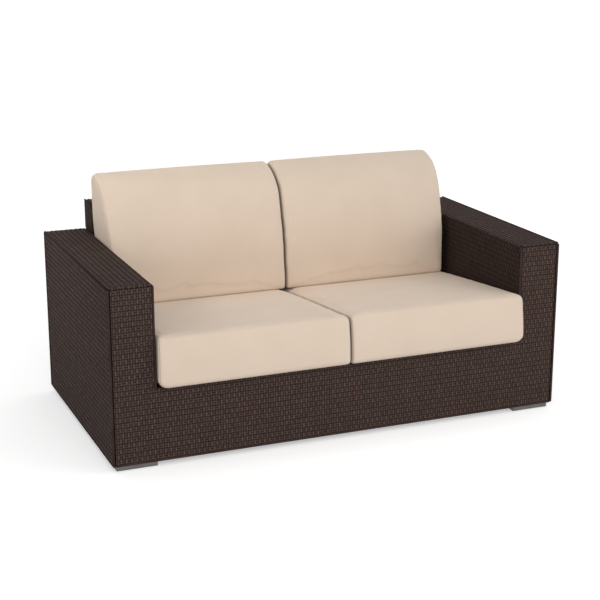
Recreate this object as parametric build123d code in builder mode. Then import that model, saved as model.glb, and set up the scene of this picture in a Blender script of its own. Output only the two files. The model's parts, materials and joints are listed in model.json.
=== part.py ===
from build123d import *
from math import cos, radians, sin
import os

# A two-seat patio sofa: woven resin over square aluminium tube, four loose cushions.
# Millimetres, floor at z = 0, front towards -Y. Left and right are as seen from the front.

# Overall sizes
overall_width = 1600
frame_depth = 855
arm_height = 602
arm_width = 149
apron_height = 267
back_height = 707
back_thickness = 105
foot_height = 18
cushion_overhang = 44
seat_slope = 5.8

# Woven skin
weave_thickness = 4
weave_corner = 9
weave_return = 42

# Square tube of the frame
tube_size = 25
tube_wall = 2
deck_clearance = 0.2
middle_post_share = 0.5
upright_count = 5

# Feet and their glides
foot_length = 136
foot_width = 68
foot_side_inset = 12
foot_front_inset = 9
foot_chamfer = 1
glide_diameter = 20
glide_stand = 2
glide_pocket = 3
glide_edge = 14

# M8 frame bolts, washers and rivet nuts
bolt_diameter = 8
bolt_head_diameter = 13
bolt_head_height = 8
bolt_key = 6
bolt_key_depth = 4
bolt_hole = 8.6
washer_diameter = 16
washer_thickness = 1.6
nut_body_diameter = 11
nut_body_length = 14
nut_flange_diameter = 14
nut_flange_thickness = 1.2
bolt_tip = 1
thread_clearance = 0.1
seat_clearance = 0.2
upper_bolt_height = 190
lower_bolt_height = 95
back_bolt_shares = (-0.75, -0.25, 0.25, 0.75)

# Corner brackets between arms and back
bracket_leg = 40
bracket_width = 24
bracket_thickness = 3
bracket_bolt_offset = 23

# M6 foot screws and their rivet nuts
screw_diameter = 6
screw_head_diameter = 10
screw_head_height = 6
screw_head_recess = 7
screw_hole = 6.6
screw_spacing = 60
screw_nut_body_diameter = 9
screw_nut_body_length = 12
screw_nut_flange_diameter = 12
screw_nut_flange_thickness = 1

# Cushions
cushion_gap = 2
soft_gap = 0.3
cover_thickness = 3
core_clearance = 0.4
seam_radius = 10
side_draw = 3
draw_reach = 60
seat_cushion_thickness = 168
seat_corner = 20
seat_rear_corner = 16
seat_crown = 4.3
seat_front_bulge = 5
seat_pressed_length = 255
seat_pressed_rise = 5
back_cushion_thickness = 230
back_cushion_top = 826
back_corner = 14
back_front_bulge = 10
back_top_crown = 3
edge_fullness_share = 0.4

# Outline of a back cushion's side, as shares of its thickness and height
lower_front_share = (0.02, 0.30)
upper_front_share = (0.25, 0.756)
top_share = (0.87, 0.993)
rear_round_share = 0.937
foot_bulge_share = 0.3
shoulder_bulge_share = 0.7

# Zips in the rear of the covers
zip_side_margin = 54
zip_end = 10
zip_tape_width = 30
zip_tape_thickness = 1.2
zip_teeth_width = 5
zip_teeth_height = 1.4
zip_recess = 6
zip_recess_margin = 2
back_zip_height = 70
slider_length = 12
slider_width = 9
slider_plate = 1.2
slider_clearance = 0.3
pull_length = 24
pull_width = 6
pull_thickness = 1

overrun = 5

# Places that follow from the sizes above
overall_depth = frame_depth + cushion_overhang
front_y = cushion_overhang - overall_depth / 2
rear_y = front_y + frame_depth
back_front_y = rear_y - back_thickness
outer_x = overall_width / 2
inner_x = outer_x - arm_width
arm_x = (outer_x + inner_x) / 2
tube_bore = tube_size - 2 * tube_wall
tube_inset = weave_thickness + tube_size / 2
front_tube_y = front_y + tube_inset
rear_tube_y = rear_y - tube_inset
back_tube_y = back_front_y + tube_inset
middle_tube_y = front_tube_y + (rear_tube_y - front_tube_y) * middle_post_share
outer_tube_x = outer_x - tube_inset
inner_tube_x = inner_x + tube_inset
low_tube_z = foot_height + tube_inset
arm_top_tube_z = arm_height - tube_inset
back_top_tube_z = back_height - tube_inset
frame_floor_z = foot_height + weave_thickness
seat_end_x = inner_x - tube_size / 2
foot_x = outer_x - foot_side_inset - foot_length / 2
foot_front_y = front_y + foot_front_inset + foot_width / 2
foot_rear_y = rear_y - foot_front_inset - foot_width / 2

slope_sin = sin(radians(seat_slope))
slope_cos = cos(radians(seat_slope))
slope_back = Vector(0, slope_cos, -slope_sin)
slope_up = Vector(0, slope_sin, slope_cos)


def deck_z(y, rise):
    # Height at depth y of a plane that lies rise above the sloping deck
    return apron_height + (rise - (y - front_y) * slope_sin) / slope_cos


def deck_point(x, along, rise):
    # A point given along the slope from the apron's top front edge
    return Vector(x, front_y, apron_height) + slope_back * along + slope_up * rise


def save(piece, name):
    piece.part.label = name
    export_step(piece.part, f"parts/{name}.step")


os.makedirs("parts", exist_ok=True)
sides = ((-1, "left"), (1, "right"))


# Frame tubes

def tube(start, end):
    run = Vector(*end) - Vector(*start)
    with BuildSketch(Plane(origin=start, z_dir=run)) as section:
        Rectangle(tube_size, tube_size)
        Rectangle(tube_bore, tube_bore, mode=Mode.SUBTRACT)
    extrude(section.sketch, amount=run.length)


seat_rail_y = front_tube_y
rear_rail_y = back_front_y - tube_size / 2
cross_start_y = seat_rail_y + tube_size / 2
cross_end_y = rear_rail_y - tube_size / 2
seat_rail_z = deck_z(cross_start_y, -weave_thickness) - deck_clearance - tube_size / 2
rear_rail_z = deck_z(back_front_y, -weave_thickness) - deck_clearance - tube_size / 2
cross_depth = tube_size / slope_cos


def cross_z(y):
    return deck_z(y, -weave_thickness) - deck_clearance - cross_depth / 2


upright_xs = [
    -seat_end_x + 2 * seat_end_x * step / (upright_count - 1)
    for step in range(upright_count)
]

# Where bolts enter: each plane lies on the tube that holds the rivet nut, facing the head
arm_bolt_planes = {}
arm_bracket_planes = {}
back_bracket_planes = {}
for side, side_name in sides:
    inward = (-side, 0, 0)
    wall_x = side * (inner_x + weave_thickness)
    arm_bolt_planes[side] = [
        Plane(origin=(wall_x, y, z), z_dir=inward)
        for y, z in (
            (front_tube_y, upper_bolt_height),
            (front_tube_y, lower_bolt_height),
            (middle_tube_y, cross_z(middle_tube_y)),
        )
    ]
    arm_bracket_planes[side] = Plane(
        origin=(wall_x, back_front_y - bracket_bolt_offset, low_tube_z), z_dir=inward
    )
    back_bracket_planes[side] = Plane(
        origin=(side * (inner_x - tube_inset), back_front_y + weave_thickness, low_tube_z),
        z_dir=(0, -1, 0),
    )
back_bolt_planes = [
    Plane(
        origin=(share * inner_x, back_front_y + weave_thickness, rear_rail_z),
        z_dir=(0, -1, 0),
    )
    for share in back_bolt_shares
]
foot_screw_planes = {
    (side, foot_y): [
        Plane(
            origin=(side * foot_x + offset, foot_y, frame_floor_z), z_dir=(0, 0, -1)
        )
        for offset in (-screw_spacing / 2, screw_spacing / 2)
    ]
    for side, side_name in sides
    for foot_y in (foot_front_y, foot_rear_y)
}
frame_planes = arm_bolt_planes[-1] + arm_bolt_planes[1] + back_bolt_planes
bracket_planes = [
    planes[side]
    for planes in (arm_bracket_planes, back_bracket_planes)
    for side in (-1, 1)
]
all_screw_planes = [plane for planes in foot_screw_planes.values() for plane in planes]


def nut_holes(planes, diameter):
    # Through the near wall only, where a rivet nut's body sits
    with Locations(*planes):
        Cylinder(
            diameter / 2 + seat_clearance,
            tube_wall + overrun,
            align=(Align.CENTER, Align.CENTER, Align.MAX),
            mode=Mode.SUBTRACT,
        )


def flange_holes(planes, diameter):
    # Through the woven skin, round a rivet nut's flange
    with Locations(*planes):
        Cylinder(
            diameter / 2 + seat_clearance, 2 * weave_thickness + overrun, mode=Mode.SUBTRACT
        )


def bolt_holes(planes):
    # Through both walls of the tube that a bolt clamps
    with Locations(*planes):
        Cylinder(
            bolt_hole / 2,
            weave_thickness + tube_size + overrun,
            align=(Align.CENTER, Align.CENTER, Align.MIN),
            mode=Mode.SUBTRACT,
        )


for side, side_name in sides:
    near_x = side * inner_tube_x
    far_x = side * outer_tube_x
    post_top_z = arm_height - weave_thickness
    with BuildPart() as arm_posts:
        for x in (near_x, far_x):
            for y in (front_tube_y, rear_tube_y):
                tube((x, y, frame_floor_z), (x, y, post_top_z))
            tube(
                (x, middle_tube_y, low_tube_z + tube_size / 2),
                (x, middle_tube_y, arm_top_tube_z - tube_size / 2),
            )
        nut_holes(arm_bolt_planes[side], nut_body_diameter)
    save(arm_posts, f"{side_name}_arm_posts")

    with BuildPart() as arm_rails:
        for x in (near_x, far_x):
            for z in (low_tube_z, arm_top_tube_z):
                tube((x, front_tube_y + tube_size / 2, z), (x, rear_tube_y - tube_size / 2, z))
        nut_holes([arm_bracket_planes[side]], nut_body_diameter)
    save(arm_rails, f"{side_name}_arm_rails")

    with BuildPart() as arm_spacers:
        start_x = near_x + side * tube_size / 2
        end_x = far_x - side * tube_size / 2
        for z in (low_tube_z, arm_top_tube_z):
            for y in (front_tube_y, middle_tube_y, rear_tube_y):
                tube((start_x, y, z), (end_x, y, z))
        for y in (foot_front_y, foot_rear_y):
            tube((start_x, y, low_tube_z), (end_x, y, low_tube_z))
            nut_holes(foot_screw_planes[(side, y)], screw_nut_body_diameter)
    save(arm_spacers, f"{side_name}_arm_spacers")

upright_plan_xs = (-inner_x + tube_inset, 0, inner_x - tube_inset)
with BuildPart() as back_uprights:
    for x in upright_plan_xs:
        for y in (back_tube_y, rear_tube_y):
            tube((x, y, frame_floor_z), (x, y, back_height - weave_thickness))
    nut_holes([back_bracket_planes[-1], back_bracket_planes[1]], nut_body_diameter)
save(back_uprights, "back_uprights")

with BuildPart() as back_rails:
    for side, side_name in sides:
        start_x = side * tube_size / 2
        end_x = side * (inner_x - tube_inset - tube_size / 2)
        for y, heights in (
            (back_tube_y, (low_tube_z, rear_rail_z, back_top_tube_z)),
            (rear_tube_y, (low_tube_z, back_top_tube_z)),
        ):
            for z in heights:
                tube((start_x, y, z), (end_x, y, z))
    nut_holes(back_bolt_planes, nut_body_diameter)
save(back_rails, "back_rails")

with BuildPart() as back_spacers:
    for x in upright_plan_xs:
        for z in (low_tube_z, back_top_tube_z):
            tube((x, back_tube_y + tube_size / 2, z), (x, rear_tube_y - tube_size / 2, z))
save(back_spacers, "back_spacers")

with BuildPart() as seat_front_rails:
    for z in (low_tube_z, seat_rail_z):
        tube((-inner_x, seat_rail_y, z), (inner_x, seat_rail_y, z))
save(seat_front_rails, "seat_front_rails")

with BuildPart() as seat_front_uprights:
    for x in upright_xs:
        tube(
            (x, seat_rail_y, low_tube_z + tube_size / 2),
            (x, seat_rail_y, seat_rail_z - tube_size / 2),
        )
    bolt_holes(arm_bolt_planes[-1][:2] + arm_bolt_planes[1][:2])
save(seat_front_uprights, "seat_front_uprights")

with BuildPart() as seat_cross_tubes:
    for x in upright_xs:
        start = (x, cross_start_y, cross_z(cross_start_y))
        with BuildSketch(Plane(origin=start, x_dir=(1, 0, 0), z_dir=(0, 1, 0))):
            Rectangle(tube_size, cross_depth)
            Rectangle(tube_bore, tube_bore / slope_cos, mode=Mode.SUBTRACT)
        extrude(amount=(cross_end_y - cross_start_y) / slope_cos, dir=slope_back)
    bolt_holes(arm_bolt_planes[-1][2:] + arm_bolt_planes[1][2:])
save(seat_cross_tubes, "seat_cross_tubes")

with BuildPart() as seat_rear_rail:
    tube((-inner_x, rear_rail_y, rear_rail_z), (inner_x, rear_rail_y, rear_rail_z))
    bolt_holes(back_bolt_planes)
save(seat_rear_rail, "seat_rear_rail")


# Woven skins

for side, side_name in sides:
    with BuildPart() as arm_weave:
        with BuildSketch(Plane.XY.offset(foot_height)):
            with Locations((side * arm_x, (front_y + rear_y) / 2)):
                lower_plan = Rectangle(arm_width, frame_depth)
            outer_corners = lower_plan.vertices().sort_by(Axis.X)
            fillet(outer_corners[:2] if side < 0 else outer_corners[2:], radius=weave_corner)
        extrude(amount=apron_height - foot_height)
        with BuildSketch(Plane.XY.offset(apron_height)):
            with Locations((side * arm_x, (front_y + rear_y) / 2)):
                upper_plan = Rectangle(arm_width, frame_depth)
            corners = upper_plan.vertices().sort_by(Axis.X)
            inner_pair = corners[2:] if side < 0 else corners[:2]
            outer_pair = corners[:2] if side < 0 else corners[2:]
            front_inner = inner_pair.sort_by(Axis.Y)[:1]
            fillet(outer_pair + front_inner, radius=weave_corner)
        extrude(amount=arm_height - apron_height)
        fillet(arm_weave.faces().sort_by(Axis.Z)[-1].edges(), radius=weave_corner)
        floor_edges = arm_weave.faces().sort_by(Axis.Z)[0].edges()
        inner_edge = floor_edges.sort_by(Axis.X)[-1 if side < 0 else 0]
        fillet([edge for edge in floor_edges if edge != inner_edge], radius=weave_corner)
        with Locations((side * arm_x, (front_y + rear_y) / 2, (foot_height + arm_height) / 2)):
            Box(
                arm_width - 2 * weave_thickness,
                frame_depth - 2 * weave_thickness,
                arm_height - foot_height - 2 * weave_thickness,
                mode=Mode.SUBTRACT,
            )
        flange_holes(arm_bolt_planes[side] + [arm_bracket_planes[side]], nut_flange_diameter)
        for foot_y in (foot_front_y, foot_rear_y):
            flange_holes(foot_screw_planes[(side, foot_y)], screw_nut_flange_diameter)
    save(arm_weave, f"{side_name}_arm_weave")

with BuildPart() as back_weave:
    with BuildSketch(Plane.XY.offset(foot_height)):
        with Locations((0, (back_front_y + rear_y) / 2)):
            Rectangle(2 * inner_x, back_thickness)
    extrude(amount=arm_height - foot_height)
    with BuildSketch(Plane.XY.offset(arm_height)):
        with Locations((0, (back_front_y + rear_y) / 2)):
            upper_plan = Rectangle(2 * inner_x, back_thickness)
        fillet(upper_plan.vertices(), radius=weave_corner)
    extrude(amount=back_height - arm_height)
    fillet(back_weave.faces().sort_by(Axis.Z)[-1].edges(), radius=weave_corner)
    fillet(back_weave.faces().sort_by(Axis.Z)[0].edges().sort_by(Axis.Y)[-1], radius=weave_corner)
    with Locations((0, (back_front_y + rear_y) / 2, (foot_height + back_height) / 2)):
        Box(
            2 * (inner_x - weave_thickness),
            back_thickness - 2 * weave_thickness,
            back_height - foot_height - 2 * weave_thickness,
            mode=Mode.SUBTRACT,
        )
    flange_holes(
        back_bolt_planes + [back_bracket_planes[-1], back_bracket_planes[1]],
        nut_flange_diameter,
    )
save(back_weave, "back_weave")

return_y = front_y + weave_return
inner_front_y = front_y + weave_thickness
with BuildPart() as apron_weave:
    with BuildSketch(Plane.YZ):
        with BuildLine():
            Polyline(
                (front_y, foot_height),
                (front_y, apron_height),
                (return_y, deck_z(return_y, 0)),
                (return_y, deck_z(return_y, -weave_thickness)),
                (inner_front_y, deck_z(inner_front_y, -weave_thickness)),
                (inner_front_y, frame_floor_z),
                (return_y, frame_floor_z),
                (return_y, foot_height),
                close=True,
            )
        profile = make_face()
        fillet(profile.vertices().group_by(Axis.X)[0], radius=weave_corner)
    extrude(amount=inner_x, both=True)
save(apron_weave, "apron_weave")

with BuildPart() as seat_deck_weave:
    with BuildSketch(Plane.YZ):
        with BuildLine():
            Polyline(
                (return_y, deck_z(return_y, 0)),
                (back_front_y, deck_z(back_front_y, 0)),
                (back_front_y, deck_z(back_front_y, -weave_thickness)),
                (return_y, deck_z(return_y, -weave_thickness)),
                close=True,
            )
        make_face()
    extrude(amount=inner_x, both=True)
save(seat_deck_weave, "seat_deck_weave")


# Feet

glide_offset = foot_length / 2 - glide_edge
foot_ends = ((foot_front_y, "front"), (foot_rear_y, "rear"))
for side, side_name in sides:
    for foot_y, end_name in foot_ends:
        with BuildPart() as foot:
            with Locations((side * foot_x, foot_y, foot_height)):
                Box(
                    foot_length,
                    foot_width,
                    foot_height - glide_stand,
                    align=(Align.CENTER, Align.CENTER, Align.MAX),
                )
            chamfer(foot.edges().filter_by(Axis.Z), length=foot_chamfer)
            chamfer(foot.faces().sort_by(Axis.Z)[0].edges(), length=foot_chamfer)
            with Locations(foot.faces().sort_by(Axis.Z)[0]):
                with GridLocations(2 * glide_offset, 0, 2, 1):
                    Hole(glide_diameter / 2, depth=glide_pocket)
                with GridLocations(screw_spacing, 0, 2, 1):
                    CounterBoreHole(
                        screw_hole / 2, screw_head_diameter / 2 + seat_clearance, screw_head_recess
                    )
        save(foot, f"{end_name}_{side_name}_foot")

foot_places = [(side * foot_x, foot_y, 0) for side, name in sides for foot_y, end in foot_ends]
with BuildPart() as foot_glides:
    with Locations(*foot_places):
        with GridLocations(2 * glide_offset, 0, 2, 1):
            Cylinder(
                glide_diameter / 2,
                glide_stand + glide_pocket,
                align=(Align.CENTER, Align.CENTER, Align.MIN),
            )
    rims = foot_glides.faces().filter_by(Plane.XY).group_by(Axis.Z)[0].edges()
    chamfer(rims, length=foot_chamfer)
save(foot_glides, "foot_glides")


# Fasteners

def bolts(planes, clamped, length):
    # Socket head bolts, clamped is what lies between the nut's face and the washer
    seat_z = clamped + washer_thickness
    with Locations(*planes):
        with Locations((0, 0, seat_z)):
            Cylinder(
                bolt_diameter / 2 - thread_clearance,
                length,
                align=(Align.CENTER, Align.CENTER, Align.MAX),
            )
            Cylinder(
                bolt_head_diameter / 2,
                bolt_head_height,
                align=(Align.CENTER, Align.CENTER, Align.MIN),
            )
    key_planes = [plane.offset(seat_z + bolt_head_height - bolt_key_depth) for plane in planes]
    with BuildSketch(*key_planes) as sockets:
        RegularPolygon(bolt_key / 2, 6, major_radius=False)
    extrude(sockets.sketch, amount=bolt_key_depth + overrun, mode=Mode.SUBTRACT)


frame_clamped = weave_thickness + tube_size
bracket_clamped = weave_thickness + bracket_thickness
shank_below = nut_body_length + bolt_tip
with BuildPart() as frame_bolts:
    bolts(frame_planes, frame_clamped, frame_clamped + washer_thickness + shank_below)
save(frame_bolts, "frame_bolts")

with BuildPart() as bracket_bolts:
    bolts(bracket_planes, bracket_clamped, bracket_clamped + washer_thickness + shank_below)
save(bracket_bolts, "bracket_bolts")

with BuildPart() as bolt_washers:
    for planes, clamped in ((frame_planes, frame_clamped), (bracket_planes, bracket_clamped)):
        with Locations(*[plane.offset(clamped) for plane in planes]):
            Cylinder(
                washer_diameter / 2,
                washer_thickness,
                align=(Align.CENTER, Align.CENTER, Align.MIN),
            )
            Cylinder(bolt_hole / 2, 2 * washer_thickness, mode=Mode.SUBTRACT)
save(bolt_washers, "bolt_washers")


def rivet_nuts(planes, body, length, flange, flange_thickness, bore):
    with Locations(*planes):
        Cylinder(body / 2, length, align=(Align.CENTER, Align.CENTER, Align.MAX))
        Cylinder(flange / 2, flange_thickness, align=(Align.CENTER, Align.CENTER, Align.MIN))
        Cylinder(bore / 2, 2 * length, mode=Mode.SUBTRACT)


with BuildPart() as frame_rivet_nuts:
    rivet_nuts(
        frame_planes + bracket_planes,
        nut_body_diameter,
        nut_body_length,
        nut_flange_diameter,
        nut_flange_thickness,
        bolt_diameter,
    )
save(frame_rivet_nuts, "frame_rivet_nuts")

with BuildPart() as foot_rivet_nuts:
    rivet_nuts(
        all_screw_planes,
        screw_nut_body_diameter,
        screw_nut_body_length,
        screw_nut_flange_diameter,
        screw_nut_flange_thickness,
        screw_diameter,
    )
save(foot_rivet_nuts, "foot_rivet_nuts")

screw_head_z = frame_floor_z - glide_stand - screw_head_recess
screw_length = screw_head_z + screw_nut_body_length
with BuildPart() as foot_screws:
    with Locations(*all_screw_planes):
        with Locations((0, 0, screw_head_z)):
            Cylinder(
                screw_diameter / 2 - thread_clearance,
                screw_length,
                align=(Align.CENTER, Align.CENTER, Align.MAX),
            )
            Cylinder(
                screw_head_diameter / 2,
                screw_head_height,
                align=(Align.CENTER, Align.CENTER, Align.MIN),
            )
save(foot_screws, "foot_screws")

with BuildPart() as corner_brackets:
    for side, side_name in sides:
        corner_x = side * inner_x
        leg_x = corner_x - side * bracket_leg
        thin_x = corner_x - side * bracket_thickness
        thin_y = back_front_y - bracket_thickness
        leg_y = back_front_y - bracket_leg
        with BuildSketch(Plane.XY.offset(low_tube_z)):
            with BuildLine():
                Polyline(
                    (corner_x, back_front_y),
                    (leg_x, back_front_y),
                    (leg_x, thin_y),
                    (thin_x, thin_y),
                    (thin_x, leg_y),
                    (corner_x, leg_y),
                    close=True,
                )
            make_face()
        extrude(amount=bracket_width / 2, both=True)
    with Locations(*bracket_planes):
        Cylinder(
            bolt_hole / 2,
            bracket_clamped + overrun,
            align=(Align.CENTER, Align.CENTER, Align.MIN),
            mode=Mode.SUBTRACT,
        )
save(corner_brackets, "corner_brackets")


# Cushions

seat_width = (2 * inner_x - 3 * cushion_gap) / 2
cushion_x = (seat_width + cushion_gap) / 2
seat_rear_along = (back_front_y - soft_gap - front_y - seat_cushion_thickness * slope_sin) / slope_cos
seat_corner_reach = (cushion_overhang - seat_corner * (1 - slope_sin)) / slope_cos
seat_front_along = -seat_corner - seat_corner_reach
seat_bottom = soft_gap
seat_top = soft_gap + seat_cushion_thickness
seat_pressed_along = seat_rear_along - seat_pressed_length
rest_rise = seat_pressed_rise / (seat_pressed_length - seat_rear_corner)
back_rear = back_front_y - soft_gap
back_front = back_rear - back_cushion_thickness


def rest_z(y, lift):
    # Height at depth y of a line that lies lift above the part of a seat cushion
    # that the back cushion presses flat
    start = deck_point(0, seat_pressed_along, seat_top + seat_pressed_rise)
    run = slope_back - slope_up * rest_rise
    return start.Z + (y - start.Y) * run.Z / run.Y + lift * run.length / run.Y


def cushion_draw(plane, centre, half_width, low, high):
    # Keeps what lies between two side lines that pull in towards the middle
    middle = (low + high) / 2
    with BuildSketch(plane) as plan:
        with BuildLine():
            right = ThreePointArc(
                (centre + half_width, low - draw_reach),
                (centre + half_width - side_draw, middle),
                (centre + half_width, high + draw_reach),
            )
            left = ThreePointArc(
                (centre - half_width, high + draw_reach),
                (centre - half_width + side_draw, middle),
                (centre - half_width, low - draw_reach),
            )
            Line(right @ 1, left @ 0)
            Line(left @ 1, right @ 0)
        make_face()
    extrude(plan.sketch, amount=overall_depth, both=True, mode=Mode.INTERSECT)


def seat_section(x, fullness, inset):
    # Side outline of a seat cushion, in a plane across X
    front = seat_front_along + inset
    rear = seat_rear_along - inset
    bottom = seat_bottom + inset
    top = seat_top - inset
    corner = seat_corner - inset
    heel = seat_rear_corner - inset
    pressed = seat_pressed_along
    pressed_top = top + seat_pressed_rise
    crown = seat_pressed_rise / 2 + seat_crown * fullness
    place = Plane(origin=deck_point(x, 0, 0), x_dir=slope_back, z_dir=(1, 0, 0))
    with BuildSketch(place) as section:
        with BuildLine():
            Line((front + corner, bottom), (rear - heel, bottom))
            CenterArc((rear - heel, bottom + heel), heel, -90, 90)
            Line((rear, bottom + heel), (rear, top - heel))
            CenterArc((rear - heel, top - heel), heel, 0, 90)
            Line((rear - heel, top), (pressed, pressed_top))
            ThreePointArc(
                (pressed, pressed_top),
                ((pressed + front + corner) / 2, top + crown),
                (front + corner, top),
            )
            CenterArc((front + corner, top - corner), corner, 90, 90)
            ThreePointArc(
                (front, top - corner),
                (front - seat_front_bulge * fullness, (top + bottom) / 2),
                (front, bottom + corner),
            )
            CenterArc((front + corner, bottom + corner), corner, 180, 90)
        make_face()
    return section.sketch


def back_section(x, fullness, inset):
    # Side outline of a back cushion, in a plane across X
    front = back_front + inset
    rear = back_rear - inset
    thickness = rear - front
    rest = soft_gap + inset
    low = rest_z(front, rest)
    height = back_cushion_top - inset - low
    bulge = back_front_bulge * fullness
    crown = back_top_crown * fullness
    toe_y = front - bulge * foot_bulge_share
    toe = (toe_y, rest_z(toe_y, rest))
    heel = (rear, rest_z(rear, rest))
    lower = (
        front + lower_front_share[0] * thickness - bulge,
        low + lower_front_share[1] * height,
    )
    shoulder = (
        front + upper_front_share[0] * thickness - bulge * shoulder_bulge_share,
        low + upper_front_share[1] * height,
    )
    crest = (front + top_share[0] * thickness, low + top_share[1] * height + crown)
    rear_round = (rear, low + rear_round_share * height)
    with BuildSketch(Plane.YZ.offset(x)) as section:
        with BuildLine():
            face = Line(toe, lower)
            curve = TangentArc(lower, shoulder, tangent=face % 1)
            brow = TangentArc(shoulder, crest, tangent=curve % 1)
            TangentArc(crest, rear_round, tangent=brow % 1)
            Line(rear_round, heel)
            Line(heel, toe)
        make_face()
        fillet(section.vertices().sort_by(Axis.Y)[:2], radius=back_corner - inset)
    return section.sketch


def crowned_block(make_section, plane, centre_x, low, high):
    # The outside of a cushion: fuller in the middle, with its sides drawn in
    with BuildPart() as block:
        loft(
            [
                make_section(centre_x + share * seat_width / 2, fullness, 0)
                for share, fullness in ((-1, edge_fullness_share), (0, 1), (1, edge_fullness_share))
            ]
        )
        cushion_draw(plane, centre_x, seat_width / 2, low, high)
        side_faces = block.faces().sort_by(Axis.X)
        fillet(side_faces[0].edges() + side_faces[-1].edges(), radius=seam_radius)
    return block.part


def inner_block(make_section, centre_x, inset, end_inset):
    # The inside of a cushion, straight from side to side
    with BuildPart() as block:
        profile = make_section(centre_x, edge_fullness_share, inset)
        extrude(profile, amount=seat_width / 2 - end_inset, both=True)
    return block.part


def zip_box(width, height, low, high, mode):
    # A box in a zip's own frame, from low to high out of the cushion's rear face
    with Locations((0, 0, (low + high) / 2)):
        Box(width, height, high - low, mode=mode)


zip_length = seat_width - 2 * zip_side_margin
recess_length = zip_length + 2 * zip_recess_margin
recess_width = zip_tape_width + 2 * zip_recess_margin
tape_top = zip_tape_thickness - zip_recess
plate_low = tape_top + zip_teeth_height + slider_clearance
plate_high = plate_low + slider_plate
flange_width = slider_width / 2 - zip_teeth_width / 2 - slider_clearance
slider_start = zip_end + slider_length / 2 - zip_length / 2
cover_end = cover_thickness + seam_radius
deck_plane = Plane(origin=deck_point(0, 0, 0), x_dir=(1, 0, 0), z_dir=slope_up)
back_bottom_z = rest_z(back_front, soft_gap)

seat_zip_rise = soft_gap + seat_cushion_thickness / 2
back_zip_z = rest_z(back_rear, soft_gap) + back_zip_height
for side, side_name in sides:
    centre_x = side * cushion_x
    seat_zip = Plane(
        origin=deck_point(centre_x, seat_rear_along, seat_zip_rise), x_dir=(side, 0, 0), z_dir=slope_back
    )
    back_zip = Plane(origin=(centre_x, back_rear, back_zip_z), x_dir=(side, 0, 0), z_dir=(0, 1, 0))
    for kind, make_section, draw_plane, low, high, zip_plane in (
        ("seat", seat_section, deck_plane, seat_front_along, seat_rear_along, seat_zip),
        ("back", back_section, Plane.XZ, back_bottom_z, back_cushion_top, back_zip),
    ):
        cushion_name = f"{side_name}_{kind}_cushion"
        pocket_low = -zip_recess - cover_thickness
        with BuildPart() as cover:
            add(crowned_block(make_section, draw_plane, centre_x, low, high))
            add(
                inner_block(make_section, centre_x, cover_thickness, cover_end),
                mode=Mode.SUBTRACT,
            )
            with Locations(zip_plane):
                zip_box(
                    recess_length + 2 * cover_thickness,
                    recess_width + 2 * cover_thickness,
                    pocket_low,
                    -cover_thickness / 2,
                    Mode.ADD,
                )
                zip_box(recess_length, recess_width, -zip_recess, overrun, Mode.SUBTRACT)
        save(cover, f"{cushion_name}_cover")

        with BuildPart() as core:
            add(
                inner_block(
                    make_section,
                    centre_x,
                    cover_thickness + core_clearance,
                    cover_end + core_clearance,
                )
            )
            with Locations(zip_plane):
                zip_box(
                    recess_length + 2 * (cover_thickness + core_clearance),
                    recess_width + 2 * (cover_thickness + core_clearance),
                    pocket_low - core_clearance,
                    overrun,
                    Mode.SUBTRACT,
                )
        save(core, f"{cushion_name}_core")

        with BuildPart() as zip_chain:
            with Locations(zip_plane):
                zip_box(zip_length, zip_tape_width, -zip_recess, tape_top, Mode.ADD)
                zip_box(
                    zip_length - 2 * zip_end,
                    zip_teeth_width,
                    tape_top,
                    tape_top + zip_teeth_height,
                    Mode.ADD,
                )
        save(zip_chain, f"{cushion_name}_zip")

        with BuildPart() as zip_slider:
            with Locations(zip_plane):
                with Locations((slider_start, 0)):
                    zip_box(slider_length, slider_width, plate_low, plate_high, Mode.ADD)
                    for edge in (-1, 1):
                        with Locations((0, edge * (slider_width - flange_width) / 2)):
                            zip_box(
                                slider_length,
                                flange_width,
                                tape_top + slider_clearance,
                                plate_high,
                                Mode.ADD,
                            )
                    with Locations((pull_length / 2, 0)):
                        zip_box(
                            pull_length, pull_width, plate_high, plate_high + pull_thickness, Mode.ADD
                        )
        save(zip_slider, f"{cushion_name}_zip_slider")
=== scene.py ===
import json
import math
import bpy
import numpy as np
from mathutils import Matrix, Vector


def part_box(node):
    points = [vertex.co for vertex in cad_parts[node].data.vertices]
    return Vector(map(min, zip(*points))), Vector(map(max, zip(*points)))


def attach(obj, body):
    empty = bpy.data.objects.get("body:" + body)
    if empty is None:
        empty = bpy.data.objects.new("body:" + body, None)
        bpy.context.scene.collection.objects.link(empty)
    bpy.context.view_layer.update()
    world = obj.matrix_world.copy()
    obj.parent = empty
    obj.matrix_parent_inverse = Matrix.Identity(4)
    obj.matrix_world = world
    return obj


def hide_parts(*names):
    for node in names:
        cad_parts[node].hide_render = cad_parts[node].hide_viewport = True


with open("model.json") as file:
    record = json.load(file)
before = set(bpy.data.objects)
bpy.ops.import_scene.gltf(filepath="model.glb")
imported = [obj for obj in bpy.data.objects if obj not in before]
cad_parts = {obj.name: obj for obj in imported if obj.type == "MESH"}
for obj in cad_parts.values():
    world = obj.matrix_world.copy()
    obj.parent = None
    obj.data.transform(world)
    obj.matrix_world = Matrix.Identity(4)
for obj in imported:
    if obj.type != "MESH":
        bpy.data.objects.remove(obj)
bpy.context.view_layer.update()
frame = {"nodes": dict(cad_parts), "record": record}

# Two-seat patio sofa of woven resin: strands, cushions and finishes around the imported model.
# Metres, floor at z = 0, front towards -Y.

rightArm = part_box("right_arm_weave")
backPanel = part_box("back_weave")

frontY = rightArm[0].y
rearY = rightArm[1].y
outerX = rightArm[1].x
innerX = rightArm[0].x
armTop = rightArm[1].z
weaveFloor = rightArm[0].z
backTop = backPanel[1].z
backFrontY = backPanel[0].y
seatSlope = math.radians(5.8)
apronTop = 0.267  # where the fronts of the apron and the deck would meet in a sharp corner
skinCorner = 0.009  # radius of the woven skin's rounded edges
sides = (("left", -1), ("right", 1))


# Helpers

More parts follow.
